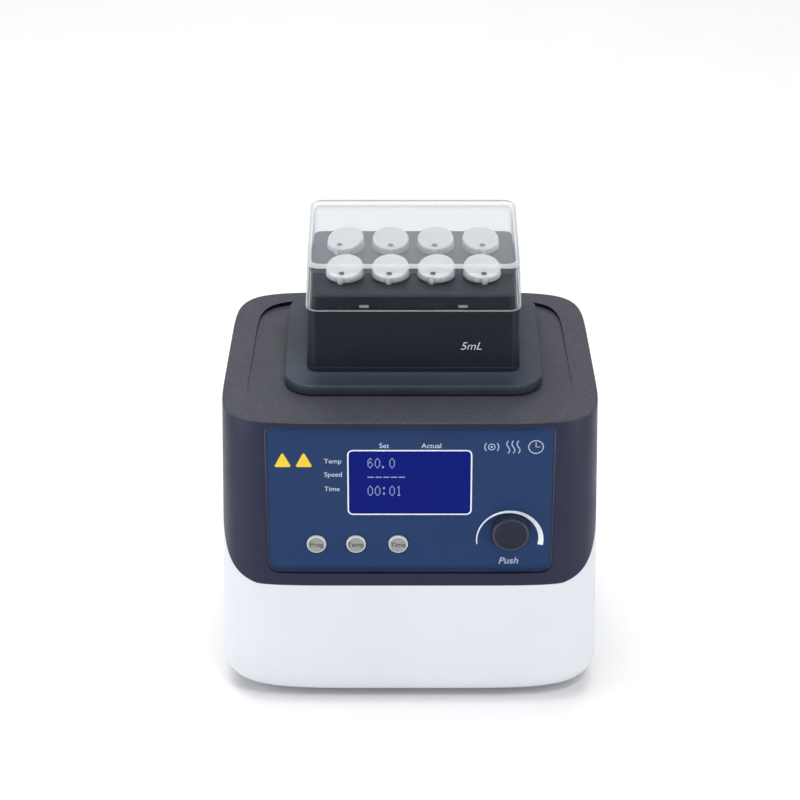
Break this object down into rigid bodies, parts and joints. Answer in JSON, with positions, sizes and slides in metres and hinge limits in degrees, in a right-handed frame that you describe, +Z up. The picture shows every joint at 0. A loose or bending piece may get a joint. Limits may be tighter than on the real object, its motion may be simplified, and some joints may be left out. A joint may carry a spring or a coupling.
{
  "type": "heated orbital tube shaker",
  "caption": "Benchtop heated orbital shaker: display panel with keys and knob, eccentric-driven platform, tube block with snap-cap tubes and a clear lift-off lid.",
  "frame": {"origin": "under the middle of the whole object, on the plane its rubber feet stand on", "axes": "+Z up, -Y out of the control panel towards the user, +X to the user's right"},
  "size_m": [0.228, 0.1728, 0.2745],
  "materials": {
    "white_plastic": "fine satin",
    "dark_plastic": "satin, fine spark texture on the deck",
    "panel_blue": "printed satin overlay",
    "display_blue": "glossy window over a blue display",
    "black_plastic": "satin",
    "board_green": "circuit board",
    "key_grey": "matte rubber-like key",
    "aluminium": "cast and machined",
    "anodised": "black anodised, satin",
    "block_grey": "dark anodised, fine bead-blasted",
    "steel": "bright",
    "rubber": "matte",
    "silicone_orange": "silicone heating mat",
    "frosted_plastic": "frosted translucent polypropylene",
    "clear_plastic": "clear polished"
  },
  "bodies": {
    "housing": {"base_shell": "white_plastic", "top_shell": "dark_plastic", "front_panel": "panel_blue", "lcd_glass": "display_blue", "lcd_module": "black_plastic", "control_pcb": "board_green", "power_supply": "board_green", "encoder_body": "aluminium", "chassis_plate": "aluminium", "drive_frame": "aluminium", "motor_body": "aluminium", "shaft_bearing": "steel", "power_inlet": "black_plastic", "switch_housing": "black_plastic", "fan_frame": "black_plastic", "fan_guard": "steel", "switch_prog": "black_plastic", "switch_temp": "black_plastic", "switch_time": "black_plastic", "foot_1": "rubber", "base_screw_1": "steel", "foot_2": "rubber", "base_screw_2": "steel", "foot_3": "rubber", "base_screw_3": "steel", "foot_4": "rubber", "base_screw_4": "steel"},
    "drive": {"drive_shaft": "steel", "counterweight": "steel", "motor_rotor": "steel"},
    "platform": {"shaker_platform": "aluminium", "platform_bearing": "steel", "heater_pad": "silicone_orange", "heating_plate": "aluminium", "platform_skirt": "dark_plastic"},
    "block": {"tube_block": "block_grey", "block_housing": "anodised"},
    "lid": {"lid": "clear_plastic"},
    "encoder_push": {"encoder_push_plate": "steel"},
    "knob": {"knob": "black_plastic", "encoder_shaft": "steel"},
    "rocker": {"power_rocker": "black_plastic"},
    "fuse_drawer": {"fuse_drawer": "black_plastic"},
    "fan": {"fan_rotor": "black_plastic"},
    "idler_1": {"idler_crank_1": "steel"},
    "idler_2": {"idler_crank_2": "steel"},
    "idler_3": {"idler_crank_3": "steel"},
    "idler_4": {"idler_crank_4": "steel"},
    "button_prog": {"button_prog": "key_grey"},
    "button_temp": {"button_temp": "key_grey"},
    "button_time": {"button_time": "key_grey"},
    "tube_1": {"tube_1": "frosted_plastic"},
    "tube_2": {"tube_2": "frosted_plastic"},
    "tube_3": {"tube_3": "frosted_plastic"},
    "tube_4": {"tube_4": "frosted_plastic"},
    "tube_5": {"tube_5": "frosted_plastic"},
    "tube_6": {"tube_6": "frosted_plastic"},
    "tube_7": {"tube_7": "frosted_plastic"},
    "tube_8": {"tube_8": "frosted_plastic"}
  },
  "joints": [
    {"name": "drive_spin", "type": "hinge", "parent": "housing", "child": "drive", "pos_m": [0, 0.01005, 0.16], "axis": [0, 0, 1], "continuous": true},
    {"name": "platform_orbit", "type": "hinge", "parent": "drive", "child": "platform", "pos_m": [0.002, 0.01005, 0.186], "axis": [0, 0, 1], "continuous": true},
    {"name": "idler_spin_1", "type": "hinge", "parent": "housing", "child": "idler_1", "pos_m": [-0.046, -0.02095, 0.163], "axis": [0, 0, 1], "continuous": true},
    {"name": "idler_spin_2", "type": "hinge", "parent": "housing", "child": "idler_2", "pos_m": [0.046, -0.02095, 0.163], "axis": [0, 0, 1], "continuous": true},
    {"name": "idler_spin_3", "type": "hinge", "parent": "housing", "child": "idler_3", "pos_m": [-0.046, 0.04105, 0.163], "axis": [0, 0, 1], "continuous": true},
    {"name": "idler_spin_4", "type": "hinge", "parent": "housing", "child": "idler_4", "pos_m": [0.046, 0.04105, 0.163], "axis": [0, 0, 1], "continuous": true},
    {"name": "block_lift", "type": "slide", "parent": "platform", "child": "block", "axis": [0, 0, 1], "range_m": [0, 0.03]},
    {"name": "lid_lift", "type": "slide", "parent": "block", "child": "lid", "axis": [0, 0, 1], "range_m": [0, 0.06]},
    {"name": "tube_lift_1", "type": "slide", "parent": "block", "child": "tube_1", "axis": [0, 0, 1], "range_m": [0, 0.0075]},
    {"name": "tube_lift_2", "type": "slide", "parent": "block", "child": "tube_2", "axis": [0, 0, 1], "range_m": [0, 0.0075]},
    {"name": "tube_lift_3", "type": "slide", "parent": "block", "child": "tube_3", "axis": [0, 0, 1], "range_m": [0, 0.0075]},
    {"name": "tube_lift_4", "type": "slide", "parent": "block", "child": "tube_4", "axis": [0, 0, 1], "range_m": [0, 0.0075]},
    {"name": "tube_lift_5", "type": "slide", "parent": "block", "child": "tube_5", "axis": [0, 0, 1], "range_m": [0, 0.0075]},
    {"name": "tube_lift_6", "type": "slide", "parent": "block", "child": "tube_6", "axis": [0, 0, 1], "range_m": [0, 0.0075]},
    {"name": "tube_lift_7", "type": "slide", "parent": "block", "child": "tube_7", "axis": [0, 0, 1], "range_m": [0, 0.0075]},
    {"name": "tube_lift_8", "type": "slide", "parent": "block", "child": "tube_8", "axis": [0, 0, 1], "range_m": [0, 0.0075]},
    {"name": "knob_push", "type": "slide", "parent": "housing", "child": "encoder_push", "axis": [0, 1, 0], "range_m": [0, 0.0005], "stiffness_N_per_m": 1500, "springref_m": -0.001},
    {"name": "knob_turn", "type": "hinge", "parent": "encoder_push", "child": "knob", "pos_m": [0.0595, -0.08195, 0.122], "axis": [0, 1, 0], "continuous": true},
    {"name": "prog_press", "type": "slide", "parent": "housing", "child": "button_prog", "axis": [0, 1, 0], "range_m": [0, 0.0008], "stiffness_N_per_m": 300, "springref_m": -0.002},
    {"name": "temp_press", "type": "slide", "parent": "housing", "child": "button_temp", "axis": [0, 1, 0], "range_m": [0, 0.0008], "stiffness_N_per_m": 300, "springref_m": -0.002},
    {"name": "time_press", "type": "slide", "parent": "housing", "child": "button_time", "axis": [0, 1, 0], "range_m": [0, 0.0008], "stiffness_N_per_m": 300, "springref_m": -0.002},
    {"name": "power_rock", "type": "hinge", "parent": "housing", "child": "rocker", "pos_m": [0.038, 0.08055, 0.088], "axis": [1, 0, 0], "range_deg": [0, 16]},
    {"name": "fuse_drawer_slide", "type": "slide", "parent": "housing", "child": "fuse_drawer", "axis": [0, 1, 0], "range_m": [0, 0.018]},
    {"name": "fan_spin", "type": "hinge", "parent": "housing", "child": "fan", "pos_m": [-0.033, 0.07155, 0.062], "axis": [0, 1, 0], "continuous": true}
  ],
  "couplings": [
    {"joint": "platform_orbit", "follows": "drive_spin", "ratio": -1},
    {"joint": "idler_spin_1", "follows": "drive_spin", "ratio": 1},
    {"joint": "idler_spin_2", "follows": "drive_spin", "ratio": 1},
    {"joint": "idler_spin_3", "follows": "drive_spin", "ratio": 1},
    {"joint": "idler_spin_4", "follows": "drive_spin", "ratio": 1}
  ]
}
